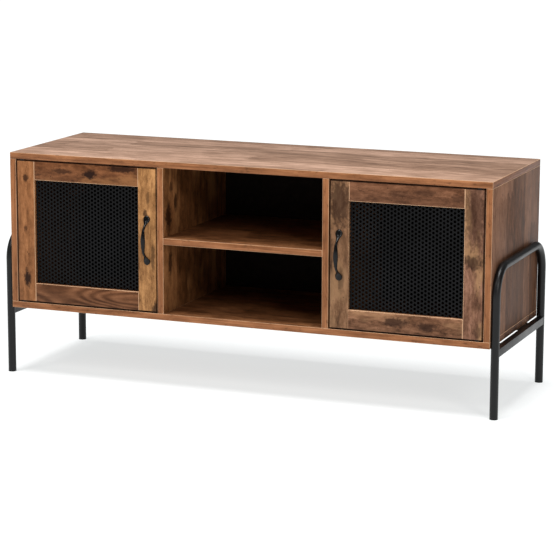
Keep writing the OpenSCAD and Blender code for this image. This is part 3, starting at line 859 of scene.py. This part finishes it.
def handle_half_width(away, half_len):
    if away > PAD_CENTRE:
        share = (away - PAD_CENTRE) / (half_len - PAD_CENTRE)
        return PAD_HALF * math.sqrt(max(0.02, 1 - share * share))
    if away > NECK_AT:
        return NECK_HALF + (PAD_HALF - NECK_HALF) * wave((away - NECK_AT) / (PAD_CENTRE - NECK_AT))
    return GRIP_HALF + (NECK_HALF - GRIP_HALF) * wave(away / NECK_AT)


def handle_stand_out(away, proud):
    """How far the middle of the bar stands out from the door."""
    top = proud - BAR_HALF_THICK
    if away < ARCH_FLAT:
        return top - ARCH_DROP * (away / ARCH_FLAT) ** 2
    fall = wave((away - ARCH_FLAT) / (ARCH_FOOT_AT - ARCH_FLAT))
    return ARCH_FOOT + (top - ARCH_DROP - ARCH_FOOT) * (1 - fall)


def handle_half_thick(away, half_len, proud):
    """Half the bar's thickness, thicker where the bar leans, and blended into the pads."""
    step = MM / 2
    lean = (handle_stand_out(away + step, proud) - handle_stand_out(away - step, proud)) / MM
    bar = BAR_HALF_THICK * math.hypot(1, lean)
    pad = wave((away - PAD_FROM) / PAD_BLEND)
    return bar * (1 - pad) + PAD_THICK * pad * math.sqrt(max(0.05, 1 - (away / half_len) ** 14))


print("handle pads are", round(2000 * PAD_HALF, 1), "mm wide, the grip", round(2000 * GRIP_HALF, 1))


# %% Draw out the handles
def forged_handle(node, name):
    low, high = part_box(node)
    centre = (low + high) / 2
    half_len = (high.z - low.z) / 2
    proud = high.y - low.y
    stations = [-half_len * math.cos(math.pi * i / STATIONS) * TIP for i in range(STATIONS + 1)]

    def section(z):
        away = abs(z)
        thick = handle_half_thick(away, half_len, proud)
        return handle_half_width(away, half_len), thick, handle_stand_out(away, proud)

    wide, thick, out = section(stations[0])
    bpy.ops.object.select_all(action="DESELECT")
    bpy.ops.mesh.primitive_circle_add(vertices=RING_POINTS, radius=1, fill_type="NGON",
                                      location=(centre.x, high.y - out, centre.z + stations[0]))
    piece = bpy.context.object
    piece.scale = (wide, thick, 1)
    bpy.ops.object.transform_apply(location=True, rotation=True, scale=True)
    edit(piece, "FACE")
    bpy.ops.mesh.select_all(action="SELECT")
    for before, z in zip(stations, stations[1:]):
        old_wide, old_thick, old_out = section(before)
        wide, thick, out = section(z)
        step = (0, old_out - out, z - before)
        bpy.ops.mesh.extrude_region_move(TRANSFORM_OT_translate={"value": step})
        bpy.ops.transform.resize(value=(wide / old_wide, thick / old_thick, 1),
                                 center_override=(centre.x, high.y - out, centre.z + z))
    bpy.ops.mesh.select_all(action="SELECT")
    bpy.ops.mesh.bisect(plane_co=(0, high.y, 0), plane_no=(0, 1, 0), clear_outer=True,
                        use_fill=True)
    bpy.ops.mesh.select_all(action="SELECT")
    bpy.ops.mesh.normals_make_consistent(inside=False)
    return done(piece, name, 50)


for side in ("left", "right"):
    node = side + "_handle"
    piece = forged_handle(node, side + "_forged_handle")
    piece.data.materials.append(lacquer)
    settle(piece, body_of[node], node)
    print(piece.name, [round(x, 4) for x in piece.dimensions], len(piece.data.polygons), "faces")

# %% [markdown]
# ## Leg frames
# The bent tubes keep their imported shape, which is already a true bent pipe. The crossbars and
# tabs get the rounded corners of rolled steel.

# %% Leg frames
def refinish(node, material):
    """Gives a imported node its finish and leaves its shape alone."""
    slots = frame["nodes"][node].material_slots
    if not slots:
        frame["nodes"][node].data.materials.append(material)
    for slot in slots:
        slot.material = material


for side in ("left", "right"):
    refinish(side + "_leg_tube", powder_coat)
    for node, width in ((side + "_crossbar", 1.6 * MM), (side + "_mounting_tabs", 0.6 * MM)):
        piece = eased(node, node + "_rolled", width, 3)
        piece.data.materials.append(powder_coat)
        settle(piece, "cabinet", node)
refinish("foot_plugs", black_plastic)
print("leg frames finished")

# %% [markdown]
# ## Fittings
# The fittings are small and mostly hidden, but they show when a door stands open. Zinc plate has
# a cloudy, slightly yellow shine, a magnet is a dull grey, and the beech dowels are pale.

# %% Fittings
zinc = Recipe("zinc_plate")
spangle = zinc.noise(zinc.place, (260, 260, 260), 3, 0.6)
zinc_tones = [(0.3, paint(150, 150, 148)), (0.7, paint(206, 205, 198))]
zinc.set(Metallic=1.0, Base_Color=zinc.ramp(spangle, zinc_tones),
         Roughness=zinc.span(spangle, 0.3, 0.7, 0.28, 0.42))

magnet = coated("magnet_grey", paint(58, 58, 60), 0.6)
hardboard = Recipe("black_hardboard")
mottle = hardboard.noise(hardboard.place, (60, 60, 60), 4, 0.65)
hardboard_tones = [(0.3, paint(20, 15, 12)), (0.7, paint(32, 24, 20))]
hardboard.set(Base_Color=hardboard.ramp(mottle, hardboard_tones), Roughness=0.85,
              Specular_IOR_Level=0.15)
hardboard.bump(mottle, 0.0001)

beech = Recipe("beech")
rays = beech.noise(beech.place, (300, 300, 300), 3)
beech_tones = [(0.3, paint(186, 146, 100)), (0.7, paint(214, 178, 132))]
beech.set(Base_Color=beech.ramp(rays, beech_tones), Roughness=0.6)
print("fitting finishes:", zinc.material.name, magnet.name, hardboard.material.name, beech.material.name)

# %% Finish the fittings
BEAD_WOOD = shades(118, 80, 56)
FITTINGS = {
    zinc.material: ("tab_screws", "side_bolts", "cam_locks", "cam_bolts", "catch_screws"),
    magnet: ("catch_magnets",),
    hardboard.material: ("back_panel",),
    black_plastic: ("hinge_bushes",),
    beech.material: ("carcass_dowels",)}
DOOR_FITTINGS = {
    zinc.material: ("bead_screws", "hinge_pins", "strike_plate", "strike_screw", "handle_screws"),
    beech.material: ("frame_dowels",)}
for material, nodes in FITTINGS.items():
    for node in nodes:
        refinish(node, material)
for side in ("left", "right"):
    for material, nodes in DOOR_FITTINGS.items():
        for node in nodes:
            refinish(side + "_" + node, material)
    case = eased(side + "_catch", side + "_catch_case", 1.0 * MM, 3)
    case.data.materials.append(black_plastic)
    settle(case, "cabinet", side + "_catch")
    beads = eased(side + "_mesh_beads", side + "_mesh_bead_frame", 0.8 * MM)
    beads.data.materials.append(wood_print("print_beads_" + side, "X", "Z", BEAD_WOOD, seed=31))
    settle(beads, body_of[side + "_mesh_beads"], side + "_mesh_beads")
print("fittings finished")

# %% [markdown]
# ## The finished size
# The bounds of all the finished pieces, without the floor, are measured last. The finished
# pieces have to stay inside the imported model's box.

# %% Measure the bounds
low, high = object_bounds()
